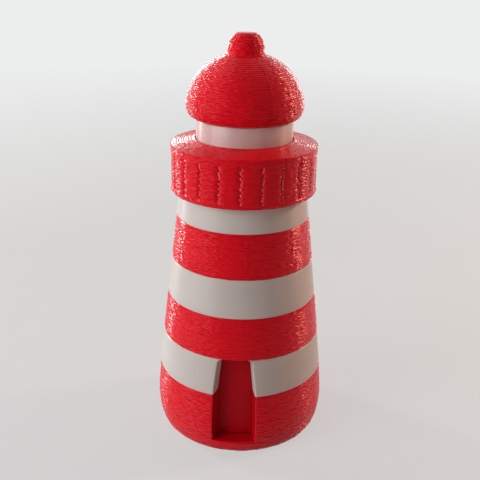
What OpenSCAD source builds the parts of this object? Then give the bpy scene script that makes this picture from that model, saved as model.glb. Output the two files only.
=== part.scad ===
// Miniature lighthouse, a printed desk ornament built as a stack on a hollow core.
// A base cup holds the core. Five tapered bands slide over it from above.
// A lobed gallery nut screws onto the core's neck and traps the lantern's foot flange.
// The dome roof plugs into the lantern. The doorway faces -Y and +Z is up.
// The origin is the middle of the base's underside. All sizes are millimetres.

/* [Base] */
// Height of the base cup
base_h = 12.8; // [10:0.1:18]
// Diameter of the tower where the base meets the first band
base_top_d = 33.1; // [30:0.1:40]
// How far the side of the base swells out below its top
base_flare = 0.5; // [0:0.1:1.5]
// Height over which the lower edge of the base rounds in
base_round_h = 6.6; // [4:0.1:8]
// How far the lower edge of the base rounds in
base_round_w = 1.8; // [0.6:0.1:2.4]
// Thickness of the floor under the core, which is also the door sill
floor_t = 2.7; // [1.6:0.1:5]

/* [Bands] */
// Height of the white band with the doorway
door_band_h = 7.5; // [5:0.1:12]
// Height of the lower red band
low_red_h = 8.2; // [4:0.1:14]
// Height of the middle white band
mid_white_h = 7.5; // [4:0.1:14]
// Height of the upper red band
high_red_h = 8.6; // [4:0.1:14]
// Height of the top white band
top_white_h = 4.7; // [3:0.1:10]
// Wall of the bands at the top of the stack
band_wall = 1.6; // [1:0.05:2.4]
// How far the red bands stand proud of the white ones
red_proud = 0.1; // [0:0.05:0.3]
// Chamfer on the outer edges of each band
band_edge = 0.2; // [0.05:0.05:0.4]

/* [Doorway] */
// Depth of the doorway, from the tower's face to the core, at the top of the base
door_depth = 3.05; // [2.4:0.05:3.6]
// Half of the angle that the doorway takes, seen from above
door_half_angle = 14.4; // [8:0.2:20]
// Lean of each door jamb towards the middle of the doorway, in degrees
jamb_lean = 5; // [0:0.5:8]
// Radius of the doorway's upper corners
door_corner_r = 0.9; // [0.3:0.1:1.5]

/* [Core] */
// Wall of the core's tapered shaft
core_wall = 2.6; // [1.6:0.1:4]
// Width of the shoulder outside the thread, on which nothing rests
shoulder_step = 0.5; // [0.2:0.05:1]
// Height of the threaded neck above the shoulder
neck_h = 6.5; // [5:0.1:9]
// Wall of the neck between its threads
neck_wall = 1.8; // [1:0.1:2.6]

/* [Thread] */
// Rise of the thread in one turn
thread_pitch = 2.5; // [2.3:0.1:3]
// How far a thread ridge stands out of its wall
thread_ridge = 0.9; // [0.7:0.05:1]
// Width of a thread ridge at its root
thread_root_w = 1; // [0.8:0.05:1.1]
// Width of a thread ridge at its crest
thread_crest_w = 0.5; // [0.3:0.05:0.6]

/* [Gallery] */
// Wall of the gallery outside its threaded bore
gallery_wall = 3.5; // [2.4:0.1:6]
// Thickness of the lip that holds the lantern down
lip_t = 2.1; // [1.6:0.1:3]
// How far the gallery's top falls from the lantern to the rim
gallery_fall = 0.9; // [0:0.1:1.2]
// Radius of the gallery's top edge
rim_round = 0.3; // [0.1:0.1:0.6]
// Height of the plain rim above the lobes
rim_h = 1.3; // [0.8:0.1:3]
// Height of the plain rim below the lobes
foot_rim_h = 0.8; // [0.6:0.1:2]
// How far both rims stand proud of the lobes
rim_proud = 0.1; // [0.05:0.05:0.2]
// Chamfer on the gallery's lower edge
gallery_edge = 0.3; // [0.1:0.1:0.5]
// Number of lobes round the gallery
lobe_n = 22; // [12:1:28]
// Depth of the grooves between the lobes
groove_depth = 0.45; // [0.2:0.05:0.6]
// Angle from the doorway to the nearest groove, where the gallery comes to rest
lobe_turn = 1; // [0:0.5:16]

/* [Lantern] */
// Outer diameter of the lantern
lantern_d = 18.4; // [15:0.1:22]
// Wall of the lantern
lantern_wall = 1.85; // [1.2:0.05:3]
// Height of the lantern that shows above the gallery
lantern_h = 3.7; // [2:0.1:12]
// How far the lantern's foot flange stands out under the gallery's lip
flange_step = 1.05; // [0.7:0.05:1.6]
// Thickness of the lantern's foot flange
flange_t = 1.4; // [0.8:0.1:2.2]

/* [Dome roof] */
// How far the dome's flat underside stands out past the lantern
dome_eave = 0.4; // [0:0.05:0.8]
// How far the dome swells out above its underside
dome_swell = 1.5; // [0.8:0.05:3]
// Height from the underside to the dome's widest place
dome_swell_h = 2.2; // [1.5:0.1:4]
// Height of the dome's curve above its widest place, without the finial
dome_curve_h = 9.8; // [8:0.1:12]
// Height of the finial's straight side
knob_side_h = 0.1; // [0.1:0.1:4]
// Diameter of the finial knob
knob_d = 7; // [5:0.1:8]
// How far the finial's top rounds in
knob_round_w = 2.1; // [1:0.1:2.4]
// Height over which the finial's top rounds in
knob_round_h = 3.2; // [1:0.1:4]
// Radius of the fillet between the finial and the dome
knob_fillet = 0.8; // [0.4:0.1:1.2]
// Depth of the plug that holds the roof in the lantern
plug_h = 3; // [2:0.1:5]

/* [Clearances] */
// Radial gap between the core's foot and the base, a light press fit
foot_gap = 0.03; // [0.01:0.01:0.1]
// Radial gap between the core and the bands that slide over it
band_gap = 0.1; // [0.05:0.05:0.3]
// Gap between the top of the bands and the gallery
gallery_gap = 0.3; // [0.15:0.05:0.5]
// Gap between faces that come together when the top is screwed down
seat_gap = 0.2; // [0.15:0.05:0.4]
// Radial gap round the crests of the thread
thread_gap = 0.3; // [0.25:0.05:0.4]
// Radial gap between the lantern and the lip of the gallery
lip_gap = 0.25; // [0.1:0.05:0.4]
// Radial running gap between the roof's plug and the lantern's bore
plug_gap = 0.05; // [0.02:0.01:0.1]

/* [Hidden] */

$fn = 96;
red = [0.80, 0.05, 0.08];
white = [0.93, 0.92, 0.88];

// Heights of the faces where the pieces of the stack meet
door_band_z = base_h;
low_red_z = door_band_z + door_band_h;
mid_white_z = low_red_z + low_red_h;
high_red_z = mid_white_z + mid_white_h;
top_white_z = high_red_z + high_red_h;
shoulder_z = top_white_z + top_white_h;
neck_top_z = shoulder_z + neck_h;

// Heights in the screwed top: the flange lies just above the neck, under the gallery's lip
flange_z = neck_top_z + seat_gap;
lip_z = flange_z + flange_t + seat_gap;
gallery_top_z = lip_z + lip_t;
rim_z = gallery_top_z - gallery_fall;
gallery_z = shoulder_z + gallery_gap;
lantern_top_z = gallery_top_z + lantern_h;
roof_z = lantern_top_z + seat_gap;

// Radii of the screwed top, worked outwards from the lantern
lantern_r = lantern_d / 2;
lantern_bore_r = lantern_r - lantern_wall;
plug_r = lantern_bore_r - plug_gap;
lip_hole_r = lantern_r + lip_gap;
flange_r = lantern_r + flange_step;
thread_crest_r = flange_r;
neck_r = thread_crest_r - thread_ridge;
neck_bore_r = neck_r - neck_wall;
nut_bore_r = thread_crest_r + thread_gap;
nut_crest_r = nut_bore_r - thread_ridge;
gallery_r = nut_bore_r + gallery_wall;

// Each lobe is an upright round post. Its neighbours meet it at the bottom of the grooves,
// and from that follow the radius of the post and of the circle on which the posts stand.
lobe_top_r = gallery_r - rim_proud;
groove_r = lobe_top_r - groove_depth;
lobe_circle_r = (pow(lobe_top_r, 2) - pow(groove_r, 2))
    / (2 * (lobe_top_r - groove_r * cos(180 / lobe_n)));
lobe_r = lobe_top_r - lobe_circle_r;
backing_r = lobe_circle_r + lobe_r / 2;
rim_step = gallery_r - groove_r;

// Radii of the tower, at the top of the bands and at the top of the base
shoulder_r = thread_crest_r + shoulder_step;
stack_top_r = shoulder_r + band_wall;
base_top_r = base_top_d / 2;
core_foot_r = base_top_r - door_depth;

// Small sizes of the ends of the parts
end_chamfer = 0.4;
foot_chamfer = 0.3;
lantern_edge = 0.2;
overrun = 1;
far = 60;

// Outer radius of the white tower and of the core at a height
function taper(foot_r, top_r, z) =
    foot_r + (top_r - foot_r) * (z - base_h) / (shoulder_z - base_h);
function tower_r(z) = taper(base_top_r, stack_top_r, z);
function core_r(z) = taper(core_foot_r, shoulder_r, z);

// Points of an elliptical arc from one angle to another
function arc(cx, cz, rx, rz, from, to, steps) =
    [for (i = [0 : steps]) let (a = from + (to - from) * i / steps)
        [cx + rx * cos(a), cz + rz * sin(a)]];

// Section of one band of the stack, with chamfered outer edges
module band_section(z0, h, proud) {
    polygon([
        [core_r(z0) + band_gap, z0],
        [tower_r(z0) + proud - band_edge, z0],
        [tower_r(z0 + band_edge) + proud, z0 + band_edge],
        [tower_r(z0 + h - band_edge) + proud, z0 + h - band_edge],
        [tower_r(z0 + h) + proud - band_edge, z0 + h],
        [core_r(z0 + h) + band_gap, z0 + h]
    ]);
}

module band(z0, h, proud) {
    rotate_extrude() band_section(z0, h, proud);
}

// Everything on the doorway's side of one jamb plane, which leans inwards above z0
module jamb_frame(side, lean, z0) {
    rotate([0, 0, side * door_half_angle])
        translate([0, 0, z0])
            rotate([0, -side * lean, 0])
                children();
}

module doorway_side(side, lean, z0) {
    jamb_frame(side, lean, z0)
        translate([side > 0 ? -far : 0, -far, -far])
            cube([far, far, 2 * far]);
}

// The radial opening of the doorway from z0 upwards
module doorway(lean, z0, h) {
    intersection() {
        doorway_side(1, lean, z0);
        doorway_side(-1, lean, z0);
        translate([-far, -far, z0]) cube([2 * far, far, h]);
    }
}

// The material left in one upper corner of the doorway by its corner radius
module door_corner(side) {
    jamb_frame(side, jamb_lean, door_band_z)
        translate([-side * door_corner_r, 0, door_band_h - door_corner_r])
            difference() {
                translate([side > 0 ? 0 : -far, -far, 0]) cube([far, far, far]);
                rotate([90, 0, 0]) cylinder(r = door_corner_r, h = far);
            }
}

module base_section() {
    base_r = base_top_r + base_flare;
    polygon(concat(
        [[0, 0]],
        arc(base_r - base_round_w, base_round_h, base_round_w, base_round_h, -90, 0, 12),
        [
            [base_top_r, base_h - band_edge],
            [base_top_r - band_edge, base_h],
            [0, base_h]
        ]
    ));
}

// Cup with a rounded lower edge, the socket for the core and the foot of the doorway
module base_cup() {
    color(red) difference() {
        rotate_extrude() base_section();
        translate([0, 0, floor_t])
            cylinder(r = core_foot_r + foot_gap, h = base_h);
        doorway(0, floor_t, base_h);
    }
}

module core_section() {
    shaft_in_r = core_foot_r - core_wall;
    polygon([
        [shaft_in_r, floor_t],
        [core_foot_r - foot_chamfer, floor_t],
        [core_foot_r, floor_t + foot_chamfer],
        [core_foot_r, base_h],
        [shoulder_r, shoulder_z],
        [neck_r, shoulder_z],
        [neck_r, neck_top_z - end_chamfer],
        [neck_r - end_chamfer, neck_top_z],
        [neck_bore_r, neck_top_z],
        [neck_bore_r, shoulder_z - core_wall],
        [shaft_in_r, base_h]
    ]);
}

// A helical ridge of trapezoid section. It starts at height z0, sits on the wall
// of radius root_r and stands out to crest_r, inwards or outwards.
module thread_ridge_on(root_r, crest_r, z0, turns) {
    per_turn = 30;
    steps = round(turns * per_turn);
    sink = root_r < crest_r ? -0.35 : 0.35;
    sides = 4;
    function ring(i) =
        let (
            a = 360 * i / per_turn,
            z = z0 + thread_pitch * i / per_turn,
            section = [
                [root_r + sink, -thread_root_w / 2],
                [crest_r, -thread_crest_w / 2],
                [crest_r, thread_crest_w / 2],
                [root_r + sink, thread_root_w / 2]
            ]
        )
        [for (p = section) [p[0] * cos(a), p[0] * sin(a), z + p[1]]];
    points = [for (i = [0 : steps]) each ring(i)];
    skin = [for (i = [0 : steps - 1], k = [0 : sides - 1])
        let (
            a = i * sides + k,
            b = i * sides + (k + 1) % sides
        )
        each [[a, b, a + sides], [b, b + sides, a + sides]]];
    caps = [
        [2, 1, 0], [3, 2, 0],
        [for (k = [0, 1, 2]) steps * sides + k],
        [for (k = [0, 2, 3]) steps * sides + k]
    ];
    outward = root_r < crest_r;
    faces = concat(skin, caps);
    polyhedron(points, outward ? faces : [for (f = faces) [f[2], f[1], f[0]]]);
}

// Turns that fit in a length of wall, with a plain end of one ridge's width at each end
function thread_turns(length) =
    (length - 2 * thread_root_w - end_chamfer) / thread_pitch;

// Hollow tapered core with a straight foot and a threaded neck
module core_tube() {
    color(red) {
        rotate_extrude() core_section();
        thread_ridge_on(neck_r, thread_crest_r, shoulder_z + thread_root_w,
            thread_turns(neck_h));
    }
}

module door_band() {
    color(white) difference() {
        band(door_band_z, door_band_h, 0);
        difference() {
            doorway(jamb_lean, door_band_z - overrun, door_band_h + 2 * overrun);
            door_corner(1);
            door_corner(-1);
        }
    }
}

module lower_red_band() {
    color(red) band(low_red_z, low_red_h, red_proud);
}

module middle_white_band() {
    color(white) band(mid_white_z, mid_white_h, 0);
}

module upper_red_band() {
    color(red) band(high_red_z, high_red_h, red_proud);
}

module top_white_band() {
    color(white) band(top_white_z, top_white_h, 0);
}

// Outer form of the gallery: two plain rims, and a waist between them that the lobes cover
module gallery_section() {
    lobes_z = gallery_z + foot_rim_h;
    lobes_top_z = rim_z - rim_h;
    polygon(concat(
        [
            [0, gallery_z],
            [gallery_r - gallery_edge, gallery_z],
            [gallery_r, gallery_z + gallery_edge],
            [gallery_r, lobes_z],
            [groove_r, lobes_z + rim_step],
            [backing_r, lobes_z + rim_step],
            [backing_r, lobes_top_z - rim_step],
            [groove_r, lobes_top_z - rim_step],
            [gallery_r, lobes_top_z]
        ],
        arc(gallery_r - rim_round, rim_z - rim_round, rim_round, rim_round, 0, 90, 8),
        [
            [lip_hole_r, gallery_top_z],
            [0, gallery_top_z]
        ]
    ));
}

// The threaded bore with its chamfer, and the hole in the lip above it
module gallery_bore_section() {
    polygon([
        [0, gallery_z - overrun],
        [nut_bore_r + end_chamfer + overrun, gallery_z - overrun],
        [nut_bore_r, gallery_z + end_chamfer],
        [nut_bore_r, lip_z],
        [lip_hole_r, lip_z],
        [lip_hole_r, gallery_top_z + overrun],
        [0, gallery_top_z + overrun]
    ]);
}

// One lobe, an upright post whose ends are sunk in the rims
module lobe() {
    low_z = gallery_z + foot_rim_h / 2;
    high_z = rim_z - rim_h / 2;
    translate([lobe_circle_r, 0, low_z]) cylinder(r = lobe_r, h = high_z - low_z);
}

// Lobed ring with a lip above and a thread inside, half a pitch off the neck's thread
module gallery_nut() {
    thread_z = shoulder_z + thread_root_w + thread_pitch / 2;
    nut_thread_h = neck_top_z - gallery_z - thread_pitch / 2;
    color(red) {
        difference() {
            union() {
                rotate_extrude() gallery_section();
                for (i = [0 : lobe_n - 1])
                    rotate([0, 0, lobe_turn - 90 + (i + 0.5) * 360 / lobe_n]) lobe();
            }
            rotate_extrude() gallery_bore_section();
        }
        thread_ridge_on(nut_bore_r, nut_crest_r, thread_z, thread_turns(nut_thread_h));
    }
}

// Plain tube with a foot flange under the gallery's lip
module lantern_ring() {
    color(white) rotate_extrude() polygon([
        [lantern_bore_r, flange_z],
        [flange_r, flange_z],
        [flange_r, flange_z + flange_t],
        [lantern_r, flange_z + flange_t],
        [lantern_r, lantern_top_z - lantern_edge],
        [lantern_r - lantern_edge, lantern_top_z],
        [lantern_bore_r, lantern_top_z]
    ]);
}

module roof_section() {
    under_r = lantern_r + dome_eave;
    dome_r = under_r + dome_swell;
    swell_z = roof_z + dome_swell_h;
    knob_r = knob_d / 2;
    stop = acos((knob_r + knob_fillet) / dome_r);
    stop_z = swell_z + dome_curve_h * sin(stop);
    top_z = stop_z + knob_fillet + knob_side_h + knob_round_h;
    polygon(concat(
        [
            [0, roof_z - plug_h],
            [plug_r - end_chamfer, roof_z - plug_h],
            [plug_r, roof_z - plug_h + end_chamfer],
            [plug_r, roof_z]
        ],
        arc(under_r, swell_z, dome_r - under_r, dome_swell_h, -90, 0, 6),
        arc(0, swell_z, dome_r, dome_curve_h, 6, stop, 16),
        arc(knob_r + knob_fillet, stop_z + knob_fillet, knob_fillet, knob_fillet, 225, 180, 4),
        arc(knob_r - knob_round_w, top_z - knob_round_h, knob_round_w, knob_round_h, 0, 90, 10),
        [[0, top_z]]
    ));
}

// Solid dome with a finial on top and a plug below
module dome_roof() {
    color(red) rotate_extrude() roof_section();
}

base_cup();
core_tube();
door_band();
lower_red_band();
middle_white_band();
upper_red_band();
top_white_band();
gallery_nut();
lantern_ring();
dome_roof();
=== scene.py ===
# %% [markdown]
# A printed lighthouse, dressed piece by piece
#
# The real thing is a small desk ornament, printed in red and white plastic. Nothing in
# the photograph gives its size, so the height of 79 mm used here is a guess.
# The red pieces were printed with a rough, jittered outer wall. The white ones are plain.
# The back and everything inside are guesses too, because one photograph is all there is.
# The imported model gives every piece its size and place. This lesson gives them their looks.
# All lengths here are metres, with +Z up and the doorway facing -Y.

import math

import bpy
import numpy as np
from mathutils import Matrix, Vector


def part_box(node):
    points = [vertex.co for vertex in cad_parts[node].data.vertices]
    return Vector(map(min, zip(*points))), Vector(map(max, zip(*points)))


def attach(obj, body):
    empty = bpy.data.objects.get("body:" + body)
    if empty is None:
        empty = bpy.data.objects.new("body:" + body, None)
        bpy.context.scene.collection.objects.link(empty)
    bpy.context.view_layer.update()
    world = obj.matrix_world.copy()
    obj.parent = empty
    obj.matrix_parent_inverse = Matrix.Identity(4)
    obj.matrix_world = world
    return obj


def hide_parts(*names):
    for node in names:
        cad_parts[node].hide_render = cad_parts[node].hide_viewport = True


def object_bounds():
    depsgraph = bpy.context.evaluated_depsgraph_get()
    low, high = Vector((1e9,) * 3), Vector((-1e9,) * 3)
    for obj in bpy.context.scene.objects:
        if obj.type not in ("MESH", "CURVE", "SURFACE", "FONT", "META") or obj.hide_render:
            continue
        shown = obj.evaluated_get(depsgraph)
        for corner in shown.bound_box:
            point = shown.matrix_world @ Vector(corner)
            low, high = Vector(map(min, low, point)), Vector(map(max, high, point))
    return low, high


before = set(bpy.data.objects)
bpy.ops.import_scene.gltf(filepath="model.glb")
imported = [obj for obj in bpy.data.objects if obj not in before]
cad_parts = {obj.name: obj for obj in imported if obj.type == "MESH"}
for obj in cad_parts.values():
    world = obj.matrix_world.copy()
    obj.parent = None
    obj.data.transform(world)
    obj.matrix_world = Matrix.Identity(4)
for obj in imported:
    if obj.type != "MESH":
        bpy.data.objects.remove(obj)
cad_low, cad_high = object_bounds()
MM = 0.001
print("CAD box, mm:", [round(v / MM, 2) for v in (*cad_low, *cad_high)])

# %% [markdown]
# Reading sizes from the frame
#
# A turned piece is known by its lowest and highest height and by its widest radius.
# The frame's boxes give all three, so nothing here has to be measured twice.

# %% Read heights and radii

inside_box = 0.004 * MM


def low_z(node):
    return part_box(node)[0].z


def high_z(node):
    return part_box(node)[1].z


def wide_r(node):
    """The node's widest radius, a hair inside its box."""
    low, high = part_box(node)
    return min(high.x, -low.x) - inside_box


base_top = high_z("base_cup")
shoulder_top = high_z("top_white_band")
band_edge = 0.2 * MM
band_wall = 1.6 * MM
red_proud = 0.1 * MM
door_depth = 3.05 * MM
dome_eave = 0.4 * MM
dome_swell = 1.5 * MM
lantern_r = wide_r("dome_roof") - dome_swell - dome_eave
sill_z = low_z("core_tube")


def line_through(z0, r0, z1, r1):
    """Radius as a straight line between two heights."""
    return lambda z: r0 + (r1 - r0) * (z - z0) / (z1 - z0)


tower_r = line_through(
    low_z("door_band") + band_edge,
    wide_r("door_band"),
    low_z("top_white_band") + band_edge,
    wide_r("top_white_band"),
)
base_top_r = tower_r(base_top)
stack_top_r = tower_r(shoulder_top)
core_foot_r = base_top_r - door_depth
core_top_r = stack_top_r - band_wall
print("tower radius, mm:", round(base_top_r / MM, 2), "to", round(stack_top_r / MM, 2))

# %% [markdown]
# Writing node trees as sums
#
# A material or a Geometry Nodes tree soon holds dozens of Math nodes.
# Wrapping a socket in a small class lets plus, minus and times add those nodes,
# so that a rule in a tree reads like the same rule on paper.
# Every other node comes from one method, which sets a node's options before its sockets.

# %% A wire that can be added and multiplied


class Wire:
    """One value on its way through a node tree."""

    def __init__(self, plan, socket):
        self.plan = plan
        self.socket = socket

    def also(self, output):
        """Another output of the node that this wire comes from."""
        return Wire(self.plan, self.socket.node.outputs[output])

    def math(self, operation, *values):
        sockets = dict(enumerate(values))
        return self.plan.node("ShaderNodeMath", {"operation": operation}, sockets)

    def __add__(self, other):
        return self.math("ADD", self, other)

    def __radd__(self, other):
        return self.math("ADD", other, self)

    def __sub__(self, other):
        return self.math("SUBTRACT", self, other)

    def __rsub__(self, other):
        return self.math("SUBTRACT", other, self)

    def __mul__(self, other):
        return self.math("MULTIPLY", self, other)

    def __rmul__(self, other):
        return self.math("MULTIPLY", other, self)

    def __truediv__(self, other):
        return self.math("DIVIDE", self, other)

    def __rtruediv__(self, other):
        return self.math("DIVIDE", other, self)

    def __mod__(self, other):
        return self.math("FLOORED_MODULO", self, other)

    def __rmod__(self, other):
        return self.math("FLOORED_MODULO", other, self)

    def floor(self):
        return self.math("FLOOR", self)

    def fraction(self):
        return self.math("FRACT", self)

    def root(self):
        return self.math("SQRT", self)

    def size(self):
        return self.math("ABSOLUTE", self)

    def at_least(self, limit):
        return self.math("MAXIMUM", self, limit)

    def at_most(self, limit):
        return self.math("MINIMUM", self, limit)


# %% A plan that makes nodes


class Plan:
    """A node tree that is being written."""

    def __init__(self, tree):
        self.tree = tree

    def node(self, kind, settings=None, sockets=None, out=0):
        made = self.tree.nodes.new(kind)
        for name, value in (settings or {}).items():
            setattr(made, name, value)
        for key, value in (sockets or {}).items():
            if isinstance(value, Wire):
                self.tree.links.new(value.socket, made.inputs[key])
            else:
                made.inputs[key].default_value = value
        return Wire(self, made.outputs[out]) if len(made.outputs) else made


# %% [markdown]
# The rough outer wall
#
# A printer lays plastic in flat layers. For a rough wall, it pushes the outer line
# of each layer in and out at random, once every fraction of a millimetre.
# Each layer gets its own pushes, so the wall shows short level streaks.
# Where a layer's line starts and ends it isn't pushed and the valleys are deeper,
# which leaves a faint upright seam.
# Geometry Nodes suits this well, because it is a rule for every point of the surface:
# find the layer and the angle, look up the two nearest pushes, and go between them.
# The mesh that goes in carries five values on each point: its layer,
# how many pushes that layer has, whether the point lies in the valley between
# two layers, how rough the wall is there, and how rough a level top is there.
# A push moves a wall inwards and a level top down, so nothing grows past its real size.

# %% Start a Geometry Nodes tree with named inputs

SOCKET_KINDS = {float: "NodeSocketFloat", int: "NodeSocketInt"}


def start_tree(name, inputs):
    """A tree with a mesh and a material going in, and one input for each named value."""
    tree = bpy.data.node_groups.new(name, "GeometryNodeTree")
    face = tree.interface
    face.new_socket("Geometry", in_out="OUTPUT", socket_type="NodeSocketGeometry")
    face.new_socket("Geometry", in_out="INPUT", socket_type="NodeSocketGeometry")
    face.new_socket("Material", in_out="INPUT", socket_type="NodeSocketMaterial")
    for label, value in inputs.items():
        socket = face.new_socket(label, in_out="INPUT", socket_type=SOCKET_KINDS[type(value)])
        socket.default_value = value
    plan = Plan(tree)
    return plan, plan.node("NodeGroupInput")


def end_tree(plan, given, shape):
    """Ends a tree in real geometry that has its material."""
    solid = plan.node("GeometryNodeRealizeInstances", None, {"Geometry": shape})
    sockets = {"Geometry": solid, "Material": given.also("Material")}
    painted = plan.node("GeometryNodeSetMaterial", None, sockets)
    plan.node("NodeGroupOutput", None, {"Geometry": painted})
    return plan.tree


def named(plan, attribute):
    """A value that the mesh carries on its points."""
    settings = {"data_type": "FLOAT"}
    return plan.node("GeometryNodeInputNamedAttribute", settings, {"Name": attribute})


def store(plan, shape, attribute, value):
    """Writes a value on the points of a mesh."""
    sockets = {"Geometry": shape, "Name": attribute, "Value": value}
    return plan.node("GeometryNodeStoreNamedAttribute", {"data_type": "FLOAT"}, sockets)


def angle_and_radius(plan):
    """The point's place round the axis: x, y, its angle and its radius."""
    place = plan.node("GeometryNodeInputPosition")
    x = plan.node("ShaderNodeSeparateXYZ", None, {"Vector": place})
    y = x.also("Y")
    return x, y, y.math("ARCTAN2", y, x), (x * x + y * y).root()


def move_in(plan, shape, depth, x, y, radius, drop=0.0):
    """Moves every point level towards the axis, and down by a drop."""
    share = -1.0 * depth / radius
    sockets = {"X": x * share, "Y": y * share, "Z": -1.0 * drop}
    offset = plan.node("ShaderNodeCombineXYZ", None, sockets)
    return plan.node("GeometryNodeSetPosition", None, {"Geometry": shape, "Offset": offset})


# %% The printed skin

skin_inputs = {
    "Push Depth": 0.15 * MM,
    "Valley Depth": 0.065 * MM,
    "Seam Angle": 0.0,
    "Seam Width": 0.35 * MM,
    "Seed": 1,
}


def push_at(plan, cell, layer, seed):
    """The random push, from 0 to 1, at one place of one layer."""
    sockets = {"X": cell, "Y": layer, "Z": seed}
    where = plan.node("ShaderNodeCombineXYZ", None, sockets)
    settings = {"noise_dimensions": "3D"}
    return plan.node("ShaderNodeTexWhiteNoise", settings, {"Vector": where})


def printed_skin_tree():
    plan, given = start_tree("printed_skin", skin_inputs)
    x, y, angle, radius = angle_and_radius(plan)
    layer = named(plan, "layer")
    points = named(plan, "points")
    seed = given.also("Seed")
    along = (angle / math.tau + 0.5) * points
    before = push_at(plan, along.floor() % points, layer, seed)
    after = push_at(plan, (along.floor() + 1.0) % points, layer, seed)
    push = before + (after - before) * along.fraction()
    valley = named(plan, "valley") * given.also("Valley Depth")
    off_seam = ((angle - given.also("Seam Angle")) * radius).size()
    on_seam = (1.0 - off_seam / given.also("Seam Width")).at_least(0.0)
    depth = push * given.also("Push Depth") * (1.0 - on_seam) + valley * (1.0 + on_seam)
    drop = (push * given.also("Push Depth") + valley) * named(plan, "flat")
    shape = move_in(plan, given, depth * named(plan, "rough"), x, y, radius, drop)
    return end_tree(plan, given, shape)


printed_skin = printed_skin_tree()
print("printed skin:", len(printed_skin.nodes), "nodes")

# %% Run a tree on a piece


def set_input(modifier, label, value):
    """Sets an input of a Geometry Nodes modifier by its socket's identifier."""
    for item in modifier.node_group.interface.items_tree:
        if item.item_type == "SOCKET" and item.in_out == "INPUT" and item.name == label:
            modifier[item.identifier] = value


def run_tree(piece, tree, material, **values):
    """Puts a tree on a piece, takes its result as a plain mesh, and removes the modifier."""
    modifier = piece.modifiers.new(tree.name, "NODES")
    modifier.node_group = tree
    set_input(modifier, "Material", material)
    for label, value in values.items():
        set_input(modifier, label.replace("_", " "), value)
    bpy.context.view_layer.update()
    seen = piece.evaluated_get(bpy.context.evaluated_depsgraph_get())
    result = bpy.data.meshes.new_from_object(seen)
    piece.modifiers.remove(modifier)
    piece.data = result
    result.name = piece.name
    return piece


# %% [markdown]
# Turned pieces, row by row
#
# Nearly every piece is round, so its mesh is a stack of rings, one ring for each row.
# On a rough wall the rows follow the print's layers, three to a layer:
# one in the valley below it and two on its edge. On a slope this gives real steps.

# %% Rows for a turned outline

layer_h = 0.3 * MM
push_spacing = 0.68 * MM
step_share = 0.4
layer_rows = ((0.0, 1.0), (0.25, 0.0), (0.75, 0.0))
edge_steps = 4
fewest_pushes = 6


def push_count(r):
    """How many random pushes a layer's line gets on its way round."""
    return max(fewest_pushes, round(math.tau * r / push_spacing))


class Row:
    """One ring of a turned piece, with what the printed skin needs to know."""

    def __init__(self, r, z, layer=0, valley=0.0, rough=0.0, flat=0.0):
        self.r = r
        self.z = z
        self.layer = layer
        self.valley = valley
        self.rough = rough
        self.flat = flat
        self.points = push_count(r)


def layered(radius_at, z0, z1):
    """Rows of a printed wall from one height to another. On a slope each layer keeps
    a share of its step, because soft plastic rounds the step's edge."""
    count = round((z1 - z0) / layer_h)
    step = (z1 - z0) / count
    middle = [radius_at(z0 + (i + 0.5) * step) for i in range(count)]
    rows = []
    for i, r in enumerate(middle):
        for share, valley in layer_rows:
            below = middle[max(i - 1, 0)]
            edge = min(r, below) if valley else r
            z = z0 + (i + share) * step
            plain = radius_at(z)
            row = Row(plain + (edge - plain) * step_share, z, i, valley, 1.0)
            # The three rows of a layer share one number of pushes.
            row.points = push_count(r)
            rows.append(row)
    return rows


def edge_rows(r, z, round_r, from_deg, to_deg):
    """Rows of a rounded edge about a centre at r, z."""
    rows = []
    for i in range(edge_steps + 1):
        a = math.radians(from_deg + (to_deg - from_deg) * i / edge_steps)
        rows.append(Row(r + round_r * math.cos(a), z + round_r * math.sin(a)))
    return rows


# %% Build a mesh from rings

axis_r = 1e-7


def add_point_values(mesh, rows_of_points):
    """Stores the skin's five values on the mesh's points."""
    for label in ("layer", "valley", "rough", "flat", "points"):
        values = np.array([getattr(row, label) for row in rows_of_points], np.float32)
        mesh.attributes.new(label, "FLOAT", "POINT").data.foreach_set("value", values)


def new_piece(name, points, faces):
    mesh = bpy.data.meshes.new(name)
    mesh.from_pydata(points, [], faces)
    piece = bpy.data.objects.new(name, mesh)
    bpy.context.scene.collection.objects.link(piece)
    return piece


def turned(name, rows, columns, closed=True):
    """Turns rows about the axis. Rows run up the outside and, if closed, back down the inside.
    An outline that isn't closed starts and ends on the axis."""
    points, owners, rings = [], [], []
    for row in rows:
        on_axis = row.r < axis_r
        ring = []
        for j in range(1 if on_axis else columns):
            a = math.tau * j / columns
            ring.append(len(points))
            points.append((row.r * math.cos(a), row.r * math.sin(a), row.z))
            owners.append(row)
        rings.append(ring)
    faces = []
    pairs = list(zip(rings, rings[1:]))
    if closed:
        pairs.append((rings[-1], rings[0]))
    for low, high in pairs:
        for j in range(columns):
            k = (j + 1) % columns
            if len(low) == 1:
                faces.append((low[0], high[k], high[j]))
            elif len(high) == 1:
                faces.append((low[j], low[k], high[0]))
            else:
                faces.append((low[j], low[k], high[k], high[j]))
    piece = new_piece(name, points, faces)
    add_point_values(piece.data, owners)
    return piece


def smooth(piece, crease_deg=40):
    """Smooth shading, with edges left sharp where the surface turns by more than an angle."""
    piece.data.shade_smooth()
    piece.data.set_sharp_from_angle(angle=math.radians(crease_deg))
    return piece


def hand_over(piece, body, slot, *nodes):
    """Ties a finished piece to its body and hides the CAD nodes that it stands for."""
    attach(piece, body)
    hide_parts(*nodes)
    tris = sum(len(p.vertices) - 2 for p in piece.data.polygons)
    print(piece.name, "has", tris, "triangles")


# %% [markdown]
# Plastic finishes
#
# Both colours are the same kind of plastic, and its highlights are soft.
# The red takes its sparkle from the rough wall's real shape, so its shader stays calm:
# a slight change of tone from layer to layer and a fine grain that breaks the highlights.
# Its reflections are tinted red where they are seen straight on, and stay white
# at a grazing angle, so the front keeps its deep colour and the edges still glint.

# %% A material with a plan


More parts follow.
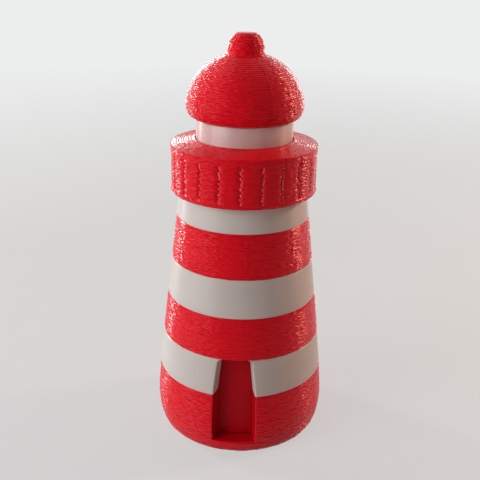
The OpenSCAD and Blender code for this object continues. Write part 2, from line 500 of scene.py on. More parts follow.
def start_material(name, colour, roughness, specular=0.5):
    material = bpy.data.materials.new(name)
    material.use_nodes = True
    material.diffuse_color = (*colour, 1.0)
    shader = material.node_tree.nodes["Principled BSDF"]
    shader.inputs["Roughness"].default_value = roughness
    shader.inputs["Specular IOR Level"].default_value = specular
    return material, Plan(material.node_tree), shader


def feed(plan, shader, label, wire):
    plan.tree.links.new(wire.socket, shader.inputs[label])


noise_detail = 2.0


def own_place(plan):
    """The surface's own place, which turns and moves with the piece."""
    return plan.node("ShaderNodeTexCoord", None, None, "Object")


def noise(plan, place, scale, squeeze_z=1.0):
    """Noise of about 1/scale metres, squeezed along the axis into level streaks."""
    sockets = {"Vector": place, "Scale": (1.0, 1.0, squeeze_z)}
    scaled = plan.node("ShaderNodeMapping", None, sockets)
    sockets = {"Vector": scaled, "Scale": scale, "Detail": noise_detail}
    return plan.node("ShaderNodeTexNoise", None, sockets)


def between(plan, share, low, high):
    """A colour between two, by a share from 0 to 1. The first may be a wire."""
    start = low if isinstance(low, Wire) else (*low, 1.0)
    sockets = {0: share, 6: start, 7: (*high, 1.0)}
    return plan.node("ShaderNodeMix", {"data_type": "RGBA"}, sockets, 2)


# %% Red plastic

red_sheen = (1.0, 0.16, 0.22)
# The paler red along the gallery's beads is a painted highlight.
painted_glint_red = (1.0, 0.42, 0.44)
painted_glint_share = 0.6
tone_scale = 160.0
red_grain_scale = 2600.0
red_grain_depth = 0.006 * MM
red_spread = 0.12


def red_plastic(name, dark, light, roughness):
    """Red plastic. Where a piece marks its beads, it is painted paler: a painted highlight that
    stands for the glints along them.
    """
    material, plan, shader = start_material(name, light, roughness)
    shader.inputs["Specular Tint"].default_value = (*red_sheen, 1.0)
    place = own_place(plan)
    bands = noise(plan, place, tone_scale, 12.0)
    tone = between(plan, bands, dark, light)
    # Painted highlight: paler paint where the gallery's beads are, standing for their glints.
    bead_and_painted_glint = plan.node("ShaderNodeAttribute", {"attribute_name": "bead_and_painted_glint"}, None, "Fac")
    feed(plan, shader, "Base Color", between(plan, painted_glint_share * bead_and_painted_glint, tone, painted_glint_red))
    grain = noise(plan, place, red_grain_scale, 3.0)
    feed(plan, shader, "Roughness", roughness - red_spread / 2 + red_spread * grain)
    sockets = {"Height": grain, "Strength": 1.0, "Distance": red_grain_depth}
    feed(plan, shader, "Normal", plan.node("ShaderNodeBump", None, sockets))
    return material


rough_dark, rough_light = (0.72, 0.0026, 0.010), (0.86, 0.004, 0.016)
# The plain red is darker than the rough one: painted shade of the doorway's recess, where it and
# the core show.
plain_shaded_dark, plain_shaded_light = (0.44, 0.002, 0.008), (0.52, 0.003, 0.011)
rough_red = red_plastic("rough_red_plastic", rough_dark, rough_light, roughness=0.20)
plain_shaded_red = red_plastic("plain_red_painted_shade", plain_shaded_dark, plain_shaded_light, roughness=0.42)
print("red plastics:", rough_red.name, "and", plain_shaded_red.name)

# %% [markdown]
# White plastic
#
# The white pieces are smooth, with fine level lines that smear a highlight up and down.
# Lines so fine would need a very dense mesh, so an anisotropic highlight stands for them.
# The lantern is painted pinker than the bands: painted red light, as if the red showed through a
# thin wall.
# That is a guess, made because the lantern is pinker in the photograph.

# %% White plastic

cloud_scale = 120.0
white_grain_scale = 1800.0
white_bump = 0.03 * MM
white_spread = 0.14
line_share = 0.25
smear, smear_turn = 0.9, 0.25
inner_glow, glow_depth = 0.12, 0.6 * MM
glow_reach = (1.0, 0.75, 0.6)


def white_plastic(name, dark, light, roughness, specular):
    material, plan, shader = start_material(name, light, roughness, specular)
    shader.inputs["Anisotropic"].default_value = smear
    shader.inputs["Anisotropic Rotation"].default_value = smear_turn
    shader.inputs["Subsurface Weight"].default_value = inner_glow
    shader.inputs["Subsurface Radius"].default_value = glow_reach
    shader.inputs["Subsurface Scale"].default_value = glow_depth
    place = own_place(plan)
    z = plan.node("ShaderNodeSeparateXYZ", None, {"Vector": place}, "Z")
    cloud = noise(plan, place, cloud_scale, 2.0)
    feed(plan, shader, "Base Color", between(plan, cloud, dark, light))
    lines = ((z / layer_h).fraction() - 0.5).size() * 2.0
    grain = noise(plan, place, white_grain_scale, 6.0)
    feed(plan, shader, "Roughness", roughness - white_spread / 2 + white_spread * grain)
    height = lines * line_share + grain
    sockets = {"Height": height, "Strength": 1.0, "Distance": white_bump}
    feed(plan, shader, "Normal", plan.node("ShaderNodeBump", None, sockets))
    return material


satin_dark, satin_light = (0.62, 0.58, 0.54), (0.68, 0.65, 0.61)
# The lantern's pinker white is painted red light in its colour.
red_lit_dark, red_lit_light = (0.64, 0.46, 0.43), (0.70, 0.52, 0.49)
satin_white = white_plastic("satin_white", satin_dark, satin_light, roughness=0.34, specular=0.5)
red_lit_white = white_plastic("red_lit_white", red_lit_dark, red_lit_light, roughness=0.30, specular=1.0)
print("white plastics:", satin_white.name, "and", red_lit_white.name)

# %% [markdown]
# The plain bands
#
# Each band is a tapered ring with softly rounded outer edges.
# White ones need few rows. Red ones take their rows from the print's layers.

# %% Make the bands

columns_red = 500
columns_white = 240
white_rows = 8
band_gap = 0.1 * MM
soft_edge = 0.22 * MM
edge_slope = 0.8
flat_w = 4 * soft_edge
hair = 0.02 * MM


def band_inside(z):
    """The bore of the bands, which slides over the core."""
    core_r = line_through(base_top, core_foot_r, shoulder_top, core_top_r)
    return core_r(z) + band_gap


def red_band(name, node, seam_deg, seed):
    z0, z1 = low_z(node), high_z(node)

    def radius_at(z):
        from_end = min(z - z0, z1 - z)
        inset = max(0.0, soft_edge - from_end) * edge_slope
        return tower_r(z) + red_proud - inset

    top_r = radius_at(z1)
    rows = [Row(radius_at(z0) - soft_edge, z0)]
    rows += layered(radius_at, z0 + hair, z1)
    rows += [Row(top_r - soft_edge * 0.5, z1), Row(top_r - 3 * soft_edge, z1)]
    rows += [Row(band_inside(z1), z1), Row(band_inside(z0), z0)]
    piece = turned(name, rows, columns_red)
    run_tree(piece, printed_skin, rough_red, Seam_Angle=math.radians(seam_deg), Seed=seed)
    smooth(piece, crease_deg=60)
    hand_over(piece, "tower", "red_textured", node)


def white_band(name, node):
    z0, z1 = low_z(node), high_z(node)
    rows = [Row(tower_r(z0) - flat_w, z0)]
    rows += edge_rows(tower_r(z0) - soft_edge, z0 + soft_edge, soft_edge, -90, 0)
    for i in range(1, white_rows):
        z = z0 + (z1 - z0) * i / white_rows
        rows.append(Row(tower_r(z), z))
    rows += edge_rows(tower_r(z1) - soft_edge, z1 - soft_edge, soft_edge, 0, 90)
    rows += [Row(tower_r(z1) - flat_w, z1), Row(band_inside(z1), z1), Row(band_inside(z0), z0)]
    piece = turned(name, rows, columns_white)
    piece.data.materials.append(satin_white)
    smooth(piece)
    hand_over(piece, "tower", "white_smooth", node)


red_band("lower_red_ring", "lower_red_band", seam_deg=-120.0, seed=11)
red_band("upper_red_ring", "upper_red_band", seam_deg=-82.5, seed=23)
white_band("middle_white_ring", "middle_white_band")
white_band("top_white_ring", "top_white_band")

# %% [markdown]
# Pieces with the doorway
#
# The base cup and the lowest white band are open at the front.
# Seen from above each is a letter C. A row is then one closed line: round the outside,
# in along the left jamb, back round the inside, and out along the right jamb.
# Every row has the same number of points, so a stack of rows makes the walls.

# %% Plan of an open ring

door_half = math.radians(14.4)
jamb_round = 0.25 * MM
jamb_steps = 9
corner_steps = 4
inner_columns = 72
outer_columns = 480
outer_count = outer_columns + 1 + 2 * corner_steps


def heading(point):
    """Angle of a plan point from the doorway's middle, from 0 to a full turn."""
    return math.atan2(point.x, -point.y) % math.tau


def arc_points(r, start, end, steps):
    """Points of an arc about the axis, with both its ends. Angles are headings."""
    turns = [start + (end - start) * j / steps for j in range(steps + 1)]
    return [Vector((r * math.sin(a), -r * math.cos(a))) for a in turns]


def jamb_point(side, across, r):
    """A point at radius r, at a distance across from a jamb's radial line, away from the middle."""
    a = side * door_half
    out = Vector((math.sin(a), -math.cos(a)))
    aside = Vector((math.cos(a), math.sin(a))) * side
    return aside * across + out * math.sqrt(max(r * r - across * across, 0.0))


def corner_points(side, shift, r):
    """The rounded edge from the jamb's face to the outer wall."""
    points = []
    for i in range(corner_steps):
        a = math.radians(90 * i / corner_steps)
        across = shift + jamb_round * (1 - math.cos(a))
        points.append(jamb_point(side, across, r - jamb_round * (1 - math.sin(a))))
    return points


def jamb_line(side, shift, r_out, r_in):
    """The jamb's face, from its rounded edge to the inner wall."""
    points = []
    for j in range(1, jamb_steps + 1):
        r = (r_out - jamb_round) + (r_in - r_out + jamb_round) * j / jamb_steps
        points.append(jamb_point(side, shift, r))
    return points


def open_ring(r_out, r_in, shift):
    """One row's closed line. shift moves both jambs towards the middle when negative.
    The first outer_count points are the outer wall with its rounded edges."""
    start = heading(jamb_point(1, shift + jamb_round, r_out))
    end = heading(jamb_point(-1, shift + jamb_round, r_out))
    line = corner_points(1, shift, r_out)
    line += arc_points(r_out, start, end, outer_columns)
    line += reversed(corner_points(-1, shift, r_out))
    line += jamb_line(-1, shift, r_out, r_in)
    start_in = heading(jamb_point(-1, shift, r_in))
    end_in = heading(jamb_point(1, shift, r_in))
    line += arc_points(r_in, start_in, end_in, inner_columns)[1:-1]
    line += reversed(jamb_line(1, shift, r_out, r_in))
    return line


print("open ring:", len(open_ring(base_top_r, core_foot_r, 0.0)), "points a row")

# %% Stack open rings


class Stack:
    """Points and faces of a piece that grows ring by ring."""

    def __init__(self):
        self.points = []
        self.owners = []
        self.faces = []

    def add(self, line, row, rough_count=None):
        """Adds a closed line at a row's height and gives its point numbers.
        Points past rough_count are smooth."""
        ring = []
        still = Row(row.r, row.z, row.layer, row.valley, 0.0)
        for i, p in enumerate(line):
            ring.append(len(self.points))
            self.points.append((p.x, p.y, row.z))
            self.owners.append(row if rough_count is None or i < rough_count else still)
        return ring

    def wall(self, low, high):
        for j in range(len(low)):
            k = (j + 1) % len(low)
            self.faces.append((low[j], low[k], high[k], high[j]))

    def piece(self, name):
        made = new_piece(name, self.points, self.faces)
        add_point_values(made.data, self.owners)
        return made


# %% Door band

door_z0, door_z1 = low_z("door_band"), high_z("door_band")
jamb_lean = math.tan(math.radians(5.0))
door_corner_r = 0.9 * MM
jamb_rows = 12
corner_rows = 10


def jamb_shift(z):
    """How far the door band's jambs have moved to the middle at a height."""
    lean = (z - door_z0) * jamb_lean
    into = max(0.0, z - (door_z1 - door_corner_r))
    curve = door_corner_r - math.sqrt(max(door_corner_r**2 - into**2, 0.0))
    return -lean - curve


def door_ring():
    """The open white band. A row's radius is counted here from a soft edge inside its wall."""
    door_h = door_z1 - door_z0
    wall_z = [door_z0 + door_h * i / jamb_rows for i in range(1, jamb_rows - 1)]
    corner_z = [door_z1 - door_corner_r * (1 - i / corner_rows) for i in range(corner_rows - 2)]
    rows = edge_rows(0.0, door_z0 + soft_edge, soft_edge, -90, 0)
    rows += [Row(soft_edge, z) for z in wall_z + corner_z]
    rows += edge_rows(0.0, door_z1 - soft_edge, soft_edge, 0, 90)
    rows.sort(key=lambda row: row.z)
    stack = Stack()
    rings = []
    for row in rows:
        r_out = tower_r(row.z) - soft_edge + row.r
        line = open_ring(r_out, band_inside(row.z), jamb_shift(row.z))
        rings.append(stack.add(line, row))
    for low, high in zip(rings, rings[1:]):
        stack.wall(low, high)
    stack.faces += [tuple(reversed(rings[0])), tuple(rings[-1])]
    piece = stack.piece("door_white_ring")
    piece.data.materials.append(satin_white)
    smooth(piece)
    hand_over(piece, "tower", "white_smooth", "door_band")


door_ring()

# %% Base cup

base_wide_r = wide_r("base_cup")
base_round_h = 6.6 * MM
base_round_w = 1.8 * MM
sill_columns = 24
sill_round = 0.2 * MM
socket_gap = 0.03 * MM
base_top_in = 0.2 * MM


def base_r(z):
    """Outer radius of the base, with its rounded lower edge."""
    if z < base_round_h:
        share = (base_round_h - z) / base_round_h
        return base_wide_r - base_round_w * (1 - math.sqrt(1 - share * share))
    swell = line_through(base_round_h, base_wide_r, base_top, base_top_r)
    return swell(z) - max(0.0, soft_edge - (base_top - z)) * edge_slope


def foot_line(r):
    """The base's outline below the sill, numbered as the outer walls of the rows above it are.
    It starts under the right jamb and goes round the back to the left one."""
    return arc_points(r, door_half, math.tau - door_half, outer_count - 1)


def sill_edge(r, z):
    """The front edge of the sill, from the left jamb to the right one, rounded on top."""
    drop = max(0.0, z - (sill_z - sill_round))
    inset = sill_round - math.sqrt(max(sill_round**2 - drop**2, 0.0))
    return arc_points(r - inset, -door_half, door_half, sill_columns)[1:-1]


def plain_shaded_doorway(piece):
    """Gives the sill and the jambs the plain red: smooth, as if they were printed without jitter,
    and darker, a painted shade of the doorway's recess.
    """
    piece.data.materials.append(plain_shaded_red)
    half_width = (base_wide_r + jamb_round) * math.sin(door_half)
    for polygon in piece.data.polygons:
        x, y, z = polygon.center
        inside = math.hypot(x, y) < base_r(z) - jamb_round
        if inside and y < 0.0 and abs(x) < half_width and z > sill_z - hair / 2:
            polygon.material_index = 1


def base_cup():
    """Solid rows up to the sill, then open rows up to the top."""
    socket_r = core_foot_r + socket_gap
    below = layered(base_r, 0.0, sill_z)
    above = layered(base_r, sill_z, base_top - hair)
    top = Row(above[-1].r - base_top_in, base_top)
    stack = Stack()
    foot = [stack.add(foot_line(row.r) + sill_edge(row.r, row.z), row) for row in below]
    for low, high in zip(foot, foot[1:]):
        stack.wall(low, high)
    stack.faces.append(tuple(reversed(foot[0])))
    ring = stack.add(open_ring(above[0].r, socket_r, 0.0), above[0], outer_count)
    sill = stack.add(sill_edge(above[0].r, sill_z), above[0])
    stack.wall(foot[-1], ring[:outer_count] + sill)
    inside_back = ring[:outer_count - 2:-1]
    stack.faces.append(tuple([ring[0]] + inside_back + sill))
    for row in above[1:] + [top]:
        higher = stack.add(open_ring(row.r, socket_r, 0.0), row, outer_count)
        stack.wall(ring, higher)
        ring = higher
    stack.faces.append(tuple(ring))
    piece = stack.piece("base_cup_rough")
    run_tree(piece, printed_skin, rough_red, Seam_Angle=math.radians(60.0), Seed=5)
    plain_shaded_doorway(piece)
    smooth(piece, crease_deg=60)
    hand_over(piece, "tower", "red_textured", "base_cup")


base_cup()

# %% [markdown]
# The core
#
# The core is a hollow tapered tube, printed plain. Only the strip behind the doorway shows,
# and its neck when the top is unscrewed. The hollow and the thread are guesses.
# The thread's ridge is a trapezoid led round a helix.

# %% Lead a ridge round a helix

neck_z0 = shoulder_top
neck_z1 = high_z("core_tube")
thread_pitch = 2.5 * MM
thread_ridge = 0.9 * MM
thread_root_w = 1.0 * MM
thread_crest_w = 0.5 * MM
thread_sunk = 0.3 * MM
turn_steps = 72


def ridge(name, root_r, crest_r, z0, turns):
    """A helical ridge that stands on a wall, outwards or inwards."""
    steps = round(turns * turn_steps)
    foot_r = root_r - thread_sunk if crest_r > root_r else root_r + thread_sunk
    section = (
        (foot_r, -thread_root_w / 2),
        (crest_r, -thread_crest_w / 2),
        (crest_r, thread_crest_w / 2),
        (foot_r, thread_root_w / 2),
    )
    corners = len(section)
    points, faces = [], []
    for i in range(steps + 1):
        a = math.tau * i / turn_steps
        rise = z0 + thread_pitch * i / turn_steps
        points += [(r * math.cos(a), r * math.sin(a), rise + h) for r, h in section]
    for i in range(steps):
        for k in range(corners):
            a, b = i * corners + k, i * corners + (k + 1) % corners
            faces.append((a, a + corners, b + corners, b))
    faces.append(tuple(range(corners)))
    faces.append(tuple(steps * corners + k for k in reversed(range(corners))))
    if crest_r < root_r:
        faces = [tuple(reversed(face)) for face in faces]
    return new_piece(name, points, faces)


def join(piece, *others):
    """Takes other meshes into a piece."""
    bpy.ops.object.select_all(action="DESELECT")
    for each in (piece, *others):
        each.select_set(True)
    bpy.context.view_layer.objects.active = piece
    bpy.ops.object.join()
    return piece


# %% Build the core

core_columns = 192
core_wall = 2.6 * MM
neck_wall = 1.8 * MM
core_step = 0.5 * MM
seat_depth = 2.6 * MM
taper_start = 0.15 * MM
foot_chamfer = 0.3 * MM
end_chamfer = 0.4 * MM


def core():
    """The tube and its thread. Gives the radius of the thread's crest."""
    crest_r = core_top_r - core_step
    neck_r = crest_r - thread_ridge
    bore_r = neck_r - neck_wall
    inner_r = core_foot_r - core_wall
    outline = (
        (inner_r, sill_z),
        (core_foot_r - foot_chamfer, sill_z),
        (core_foot_r, sill_z + foot_chamfer),
        (core_foot_r, base_top - taper_start),
        (core_foot_r - hair, base_top + taper_start),
        (core_top_r, neck_z0),
        (neck_r, neck_z0),
        (neck_r, neck_z1 - end_chamfer),
        (neck_r - end_chamfer, neck_z1),
        (bore_r, neck_z1),
        (bore_r, neck_z0 - seat_depth),
        (inner_r, base_top),
    )
    piece = turned("core_plain", [Row(r, z) for r, z in outline], core_columns)
    turns = (neck_z1 - neck_z0 - 2 * thread_root_w - end_chamfer) / thread_pitch
    thread = ridge("core_thread", neck_r, crest_r, neck_z0 + thread_root_w, turns)
    join(piece, thread)
    # Plain red, smooth and darker: painted shade of the doorway's recess.
    piece.data.materials.append(plain_shaded_red)
    smooth(piece, crease_deg=30)
    hand_over(piece, "tower", "red_smooth", "core_tube")
    return crest_r


crest_r = core()

# %% [markdown]
# The gallery
#
# The gallery is a ring, and in this model it screws onto the neck, which is a guess from
# its grip. Between two plain rims its side is a row of lobes that meet in narrow grooves.
# There are 22 here, the count that fits the photograph best, and 23 fits nearly as well.
# In the imported model each lobe is a round post and the grooves are 0.45 mm deep.
# In the photograph the faces look flatter and turn down late, and the grooves shallower,
# so a rule with a high power fits better: with a fall that goes from 0 at the lobe's middle
# to 1 at the groove, the wall lies in by the groove's depth times the fall to that power.
# A tree moves every point of a plain ring in to that wall, no deeper than
# the slope under each rim allows, and the printed skin follows it.
# The photograph also shows a bright ragged line beside each groove. Here a small bead draws it:
# each layer leaves one a little earlier or later, and the tree stores where the beads are, so that
# the paint there is paler. That paler paint is a painted highlight, standing for the glints of the
# real lines. The real lines may be mere glints.

# %% Sizes of the gallery

gallery_z0, gallery_z1 = low_z("gallery_nut"), high_z("gallery_nut")
gallery_r = wide_r("gallery_nut")
gallery_fall = 0.9 * MM
rim_z = gallery_z1 - gallery_fall
rim_round = 0.3 * MM
rim_h = 1.3 * MM
foot_rim_h = 0.8 * MM
rim_proud = 0.1 * MM
gallery_edge = 0.3 * MM
lip_t = 2.1 * MM
lip_gap = 0.25 * MM
lip_edge = 0.05 * MM
thread_gap = 0.3 * MM
lobe_n = 22
groove_depth = 0.3 * MM
lobe_turn = math.radians(1.0)
gallery_columns = 30 * lobe_n

lobe_top_r = gallery_r - rim_proud
print("lobes, mm:", round(math.tau * lobe_top_r / lobe_n / MM, 2), "wide each")

# %% Lobes as a rule

lobe_inputs = {
    "Lobes": lobe_n,
    "Face Radius": lobe_top_r,
    "Groove Depth": groove_depth,
    "Power": 5.0,
    "Turn": lobe_turn - math.pi / 2,
    "Wobble": 0.12,
    "Bead Height": 0.1 * MM,
    "Seed": 3,
}
face_rough, groove_rough = 0.7, 0.6
groove_sharpness = 8.0
bead_at, bead_half = 0.06, 0.045
usual_bead = 0.6
rim_fade = 3.0


def lobes_tree():
    """The value may_sink on each point says how deep a groove may be there."""
    plan, given = start_tree("lobes", lobe_inputs)
    x, y, angle, radius = angle_and_radius(plan)
    may_sink = named(plan, "may_sink")
    step = math.tau / given.also("Lobes")
    at = (angle - given.also("Turn")) / step
    groove = (at + 0.5).floor() % given.also("Lobes")
    stray = push_at(plan, groove, named(plan, "layer"), given.also("Seed")) - 0.5
    share = (at + stray * given.also("Wobble")).fraction()
    fall = (share - 0.5).size() * 2.0
    sink = given.also("Groove Depth") * fall.math("POWER", fall, given.also("Power"))
    near_bead = (1.0 - (share - bead_at).size() / bead_half).at_least(0.0)
    bead_and_painted_glint = near_bead * (stray + usual_bead)
    wall = given.also("Face Radius") - sink + bead_and_painted_glint * given.also("Bead Height")
    depth = (radius - wall).at_least(0.0).at_most(may_sink)
    at_groove = (fall * groove_sharpness - (groove_sharpness - 1.0)).at_least(0.0)
    rough = named(plan, "rough") * (face_rough + groove_rough * at_groove)
    shape = move_in(plan, given, depth, x, y, radius)
    off_rims = (rim_fade * may_sink / given.also("Groove Depth")).at_most(1.0)
    # The stored value marks the beads for the paint: a painted highlight there.
    shape = store(plan, shape, "bead_and_painted_glint", bead_and_painted_glint * off_rims)
    return end_tree(plan, given, store(plan, shape, "rough", rough))


lobes = lobes_tree()
print("lobes:", len(lobes.nodes), "nodes")

# %% The gallery's wall


def gallery_wall_r(z):
    """Outer radius of the gallery before its lobes are shaped."""
    up = z - (rim_z - rim_round)
    if up > 0:
        return gallery_r - rim_round + math.sqrt(max(rim_round**2 - up**2, 0.0))
    return gallery_r - max(0.0, gallery_edge - (z - gallery_z0))


def sink_limit(row):
    """How far the lobes' grooves may reach in at a row, between the slopes of the rims."""
    from_rims = min(row.z - (gallery_z0 + foot_rim_h), rim_z - rim_h - row.z)
    return max(0.0, from_rims) * row.rough


# %% The gallery's top

top_line_w = 0.45 * MM
top_rows = ((0.0, 1.0), (0.3, 0.0), (0.7, 0.0))
first_top_layer = 500
top_valley = 3.0
top_flat = 0.4


def ringed_top(r0, z0, r1, z1):
    """Rows of a top that is printed as rings side by side, from the rim to the lantern."""
    count = round((r0 - r1) / top_line_w)
    rows = []
    for i in range(count):
        for share, valley in top_rows:
            at = (i + share) / count
            r, z = r0 + (r1 - r0) * at, z0 + (z1 - z0) * at
            rows.append(Row(r, z, first_top_layer + i, top_valley * valley, 0.0, top_flat))
    return rows


# %% Build the gallery


def gallery():
    nut_bore_r = crest_r + thread_gap
    lip_hole_r = lantern_r + lip_gap
    rows = [Row(nut_bore_r + end_chamfer, gallery_z0)]
    rows += layered(gallery_wall_r, gallery_z0, rim_z - hair)
    rows += ringed_top(gallery_r - rim_round, rim_z, lip_hole_r + lip_edge, gallery_z1)
    rows += [Row(lip_hole_r + lip_edge, gallery_z1), Row(lip_hole_r, gallery_z1 - lip_edge)]
    rows += [Row(lip_hole_r, gallery_z1 - lip_t), Row(nut_bore_r, gallery_z1 - lip_t)]
    rows.append(Row(nut_bore_r, gallery_z0 + end_chamfer))
    piece = turned("gallery_lobed", rows, gallery_columns)
    sinks = [sink_limit(row) for row in rows for j in range(gallery_columns)]
    layer = piece.data.attributes.new("may_sink", "FLOAT", "POINT")
    layer.data.foreach_set("value", np.array(sinks, np.float32))
    run_tree(piece, lobes, rough_red)
    run_tree(piece, printed_skin, rough_red, Seam_Angle=math.radians(130.0), Seed=31)
    thread_z = shoulder_top + thread_root_w + thread_pitch / 2
    length = neck_z1 - gallery_z0 - thread_pitch / 2
    turns = (length - 2 * thread_root_w - end_chamfer) / thread_pitch
    thread = ridge("gallery_thread", nut_bore_r, nut_bore_r - thread_ridge, thread_z, turns)
    thread.data.materials.append(rough_red)
    join(piece, thread)
    smooth(piece, crease_deg=60)
    hand_over(piece, "gallery", "red_textured", "gallery_nut")


gallery()

# %% [markdown]
# Lantern and dome
#
# The lantern is a plain white ring, painted pinker with painted red light. Its foot flange, which
# the gallery holds down here, can't be seen in the photograph.
# The dome is one turned outline: a small swell at its eave, a long curve,
# a fillet and the finial. Its radius is a formula of the height,
# and the layers turn the shallow top into fine steps.

# %% Lantern ring

lantern_wall = 1.85 * MM
lantern_edge = 0.2 * MM
lantern_columns = 200
flange_h = 1.4 * MM


def lantern():
    z0, z1 = low_z("lantern_ring"), high_z("lantern_ring")
    flange_r = wide_r("lantern_ring")
    inner_r = lantern_r - lantern_wall
    flange_top = z0 + flange_h
    rows = [Row(inner_r, z0), Row(flange_r, z0), Row(flange_r, flange_top)]
    rows += [Row(lantern_r, flange_top), Row(lantern_r, (flange_top + z1) / 2)]
    rows += edge_rows(lantern_r - lantern_edge, z1 - lantern_edge, lantern_edge, 0, 90)
    rows.append(Row(inner_r, z1))
    piece = turned("lantern_white", rows, lantern_columns)
    # Its white is painted pinker: painted red light.
    piece.data.materials.append(red_lit_white)
    smooth(piece)
    hand_over(piece, "lantern", "white_smooth", "lantern_ring")


lantern()

# %% Dome and finial

roof_r = wide_r("dome_roof")
roof_top = high_z("dome_roof")
plug_h = 3.0 * MM
roof_z = low_z("dome_roof") + plug_h
dome_swell_h = 2.2 * MM
dome_curve_h = 9.8 * MM
knob_r = 3.5 * MM
knob_round_w = 2.1 * MM
knob_round_h = 3.2 * MM
plug_gap = 0.05 * MM
knob_fillet = 0.8 * MM
knob_flat_r = 0.8 * MM
dome_columns = 360
swell_z = roof_z + dome_swell_h
dome_stop = math.acos((knob_r + knob_fillet) / roof_r)
stop_z = swell_z + dome_curve_h * math.sin(dome_stop)


def roof_outline(z):
    """Outer radius of the dome and its finial at a height."""
    if z < swell_z:
        share = (swell_z - z) / dome_swell_h
        return roof_r - dome_swell * (1 - math.sqrt(max(1 - share * share, 0.0)))
    if z < stop_z:
        share = (z - swell_z) / dome_curve_h
        return roof_r * math.sqrt(1 - share * share)
    if z < stop_z + knob_fillet:
        drop = stop_z + knob_fillet - z
        return knob_r + knob_fillet - math.sqrt(knob_fillet**2 - drop**2)
    up = max(0.0, z - (roof_top - knob_round_h)) / knob_round_h
    return knob_r - knob_round_w * (1 - math.sqrt(max(1 - up * up, 0.0)))


def dome():
    plug_r = lantern_r - lantern_wall - plug_gap
    bottom = roof_z - plug_h
    rows = [Row(0.0, bottom), Row(plug_r - end_chamfer, bottom)]
    rows += [Row(plug_r, bottom + end_chamfer), Row(plug_r, roof_z)]
    rows += layered(roof_outline, roof_z, roof_top - hair)
    rows += [Row(knob_flat_r, roof_top), Row(0.0, roof_top)]
    piece = turned("dome_and_finial", rows, dome_columns, closed=False)
    run_tree(piece, printed_skin, rough_red, Seam_Angle=math.radians(-60.0), Seed=47)
    smooth(piece, crease_deg=60)
    hand_over(piece, "roof", "red_textured", "dome_roof")


dome()

# %% [markdown]
# The studio
#
# The object stands on a plain pale floor. In the photograph the light looks nearly white
# on the left and warmer on the right and in front, and so are the lamps here.
# A large lamp at the front left gives the main light. Two small ones further left
# and behind draw the sharp glints along the left side, and two more behind the object
# skim the gallery's top and the dome's edge. A near, warm lamp draws the right edge.
# Weak, warm lamps in front and above keep the middle red rather than grey.
# Small lamps make small glints, because a glint is a picture of the lamp.
# The floor shows mostly its own even tone to the camera and in reflections,
# and partly its lit colour, which keeps the object's shadow.

# %% Floor and backdrop

pale_tone = (0.84, 0.85, 0.85)
floor_dark, floor_light = (0.47, 0.47, 0.46), (0.51, 0.51, 0.50)
floor_cloud_scale = 8.0
near_share = 0.6
fade_from, fade_rate = 0.12, 2.5
floor_half = 2.0
bend_at, bend_r = 1.0, 0.5
bend_steps = 16


def seen_rays(plan):
    """One for what the camera sees, straight or in a reflection or through clear plastic."""
    rays = plan.node("ShaderNodeLightPath", None, None, "Is Camera Ray")
    return rays.at_least(rays.also("Is Glossy Ray")).at_least(rays.also("Is Transmission Ray"))


def floor_material():
    """Its own tone takes over with the distance from the object, where no shadow falls."""
    material, plan, shader = start_material("pale_floor", floor_light, 0.7, specular=0.2)
    place = own_place(plan)
    cloud = noise(plan, place, floor_cloud_scale)
    feed(plan, shader, "Base Color", between(plan, cloud, floor_dark, floor_light))
    x = plan.node("ShaderNodeSeparateXYZ", None, {"Vector": place})
    y = x.also("Y")
    radius = (x * x + y * y).root()
    away = ((radius - fade_from) * fade_rate).at_least(0.0).at_most(1.0)
    share = seen_rays(plan) * (near_share + (1.0 - near_share) * away)
    glow = plan.node("ShaderNodeEmission", None, {"Color": (*pale_tone, 1.0)})
    lit = Wire(plan, shader.outputs["BSDF"])
    both = plan.node("ShaderNodeMixShader", None, {0: share, 1: lit, 2: glow})
    plan.tree.links.new(both.socket, material.node_tree.nodes["Material Output"].inputs["Surface"])
    return material


def floor():
    """A flat sheet that bends up into a backdrop behind the object."""
    line = [(-floor_half, 0.0), (bend_at, 0.0)]
    for i in range(1, bend_steps + 1):
        a = math.radians(90 * i / bend_steps)
        line.append((bend_at + bend_r * math.sin(a), bend_r * (1 - math.cos(a))))
    line.append((bend_at + bend_r, floor_half))
    points = [(x, y, z) for y, z in line for x in (-floor_half, floor_half)]
    faces = [(2 * i, 2 * i + 1, 2 * i + 3, 2 * i + 2) for i in range(len(line) - 1)]
    piece = new_piece("floor", points, faces)
    piece.data.materials.append(floor_material())
    piece.data.shade_smooth()


floor()

# %% Lamps

middle = (cad_low + cad_high) / 2


def lamp(name, azimuth, elevation, distance, size, power, colour):
    """A soft square lamp round the object. Azimuth 0 is the doorway's side, 90 is +X."""
    data = bpy.data.lights.new(name, "AREA")
    data.size = size
    data.energy = power
    data.color = colour
    made = bpy.data.objects.new(name, data)
    bpy.context.scene.collection.objects.link(made)
    a, e = math.radians(azimuth), math.radians(elevation)
    out = Vector((math.sin(a) * math.cos(e), -math.cos(a) * math.cos(e), math.sin(e)))
    made.location = middle + out * distance
    made.rotation_euler = (-out).to_track_quat("-Z", "Y").to_euler()
    print(name, "lamp:", power, "W at", round(distance / MM), "mm")


lamp("left", -58, 20, 0.35, 0.25, 0.76, (0.98, 0.98, 1.0))
lamp("hard_left", -120, 12, 0.55, 0.05, 1.1, (1.0, 0.98, 0.99))
lamp("high_left", -112, 42, 0.5, 0.05, 0.3, (1.0, 0.96, 0.96))
lamp("back_left", -158, 13, 0.55, 0.14, 0.4, (1.0, 0.98, 0.97))
lamp("back_right", 158, 13, 0.55, 0.14, 0.4, (1.0, 0.80, 0.76))
lamp("warm_right", 112, 28, 0.22, 0.04, 0.26, (1.0, 0.62, 0.46))
lamp("front", 36, 2, 0.8, 0.05, 0.2, (1.0, 0.50, 0.44))
lamp("top", -40, 58, 0.7, 0.4, 0.34, (1.0, 0.58, 0.52))

# %% World

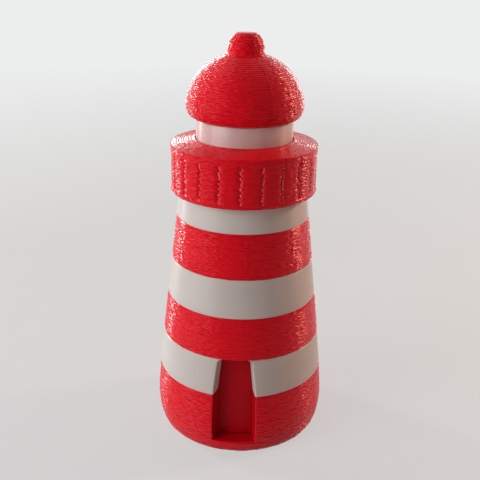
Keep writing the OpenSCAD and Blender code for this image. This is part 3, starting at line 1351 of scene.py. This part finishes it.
fill_colour = (1.0, 0.62, 0.56)
fill_strength = 0.05


def studio_world():
    """A weak fill light. The camera and reflections see the same pale tone as on the floor."""
    world = bpy.data.worlds.new("studio")
    bpy.context.scene.world = world
    world.use_nodes = True
    plan = Plan(world.node_tree)
    fill = world.node_tree.nodes["Background"]
    fill.inputs["Color"].default_value = (*fill_colour, 1.0)
    fill.inputs["Strength"].default_value = fill_strength
    pale = plan.node("ShaderNodeBackground", None, {"Color": (*pale_tone, 1.0), "Strength": 1.0})
    sockets = {0: seen_rays(plan), 1: Wire(plan, fill.outputs[0]), 2: pale}
    both = plan.node("ShaderNodeMixShader", None, sockets)
    plan.tree.links.new(both.socket, world.node_tree.nodes["World Output"].inputs["Surface"])


studio_world()

# %% [markdown]
# The camera
#
# The view was worked out from the photograph: the level rims of the bands appear as flat
# ovals, and their flatness gives the camera's height and distance in units of the object.

# %% Place the camera

camera_azimuth = math.radians(3.5)
camera_away = 143.25 * MM
camera_height = 93.2 * MM
aim_height = 38.8 * MM
aim_aside = -0.47 * MM
camera_roll = 0.0185
focal_px = 770.5
frame_px = 480


def camera():
    data = bpy.data.cameras.new("camera")
    data.sensor_width = 36.0
    data.lens = focal_px / frame_px * data.sensor_width
    data.clip_start = 0.01
    made = bpy.data.objects.new("camera", data)
    bpy.context.scene.collection.objects.link(made)
    away = Vector((math.sin(camera_azimuth), -math.cos(camera_azimuth), 0.0))
    aside = Vector((math.cos(camera_azimuth), math.sin(camera_azimuth), 0.0))
    place = away * camera_away + Vector((0.0, 0.0, camera_height))
    target = aside * aim_aside + Vector((0.0, 0.0, aim_height))
    ahead = (target - place).normalized()
    right = ahead.cross(Vector((0.0, 0.0, 1.0))).normalized()
    up = right.cross(ahead)
    c, s = math.cos(camera_roll), math.sin(camera_roll)
    right, up = right * c + up * s, up * c - right * s
    turn = Matrix((right, up, -ahead)).transposed()
    made.matrix_world = Matrix.Translation(place) @ turn.to_4x4()
    bpy.context.scene.camera = made


camera()
bpy.context.scene.view_settings.view_transform = "Standard"
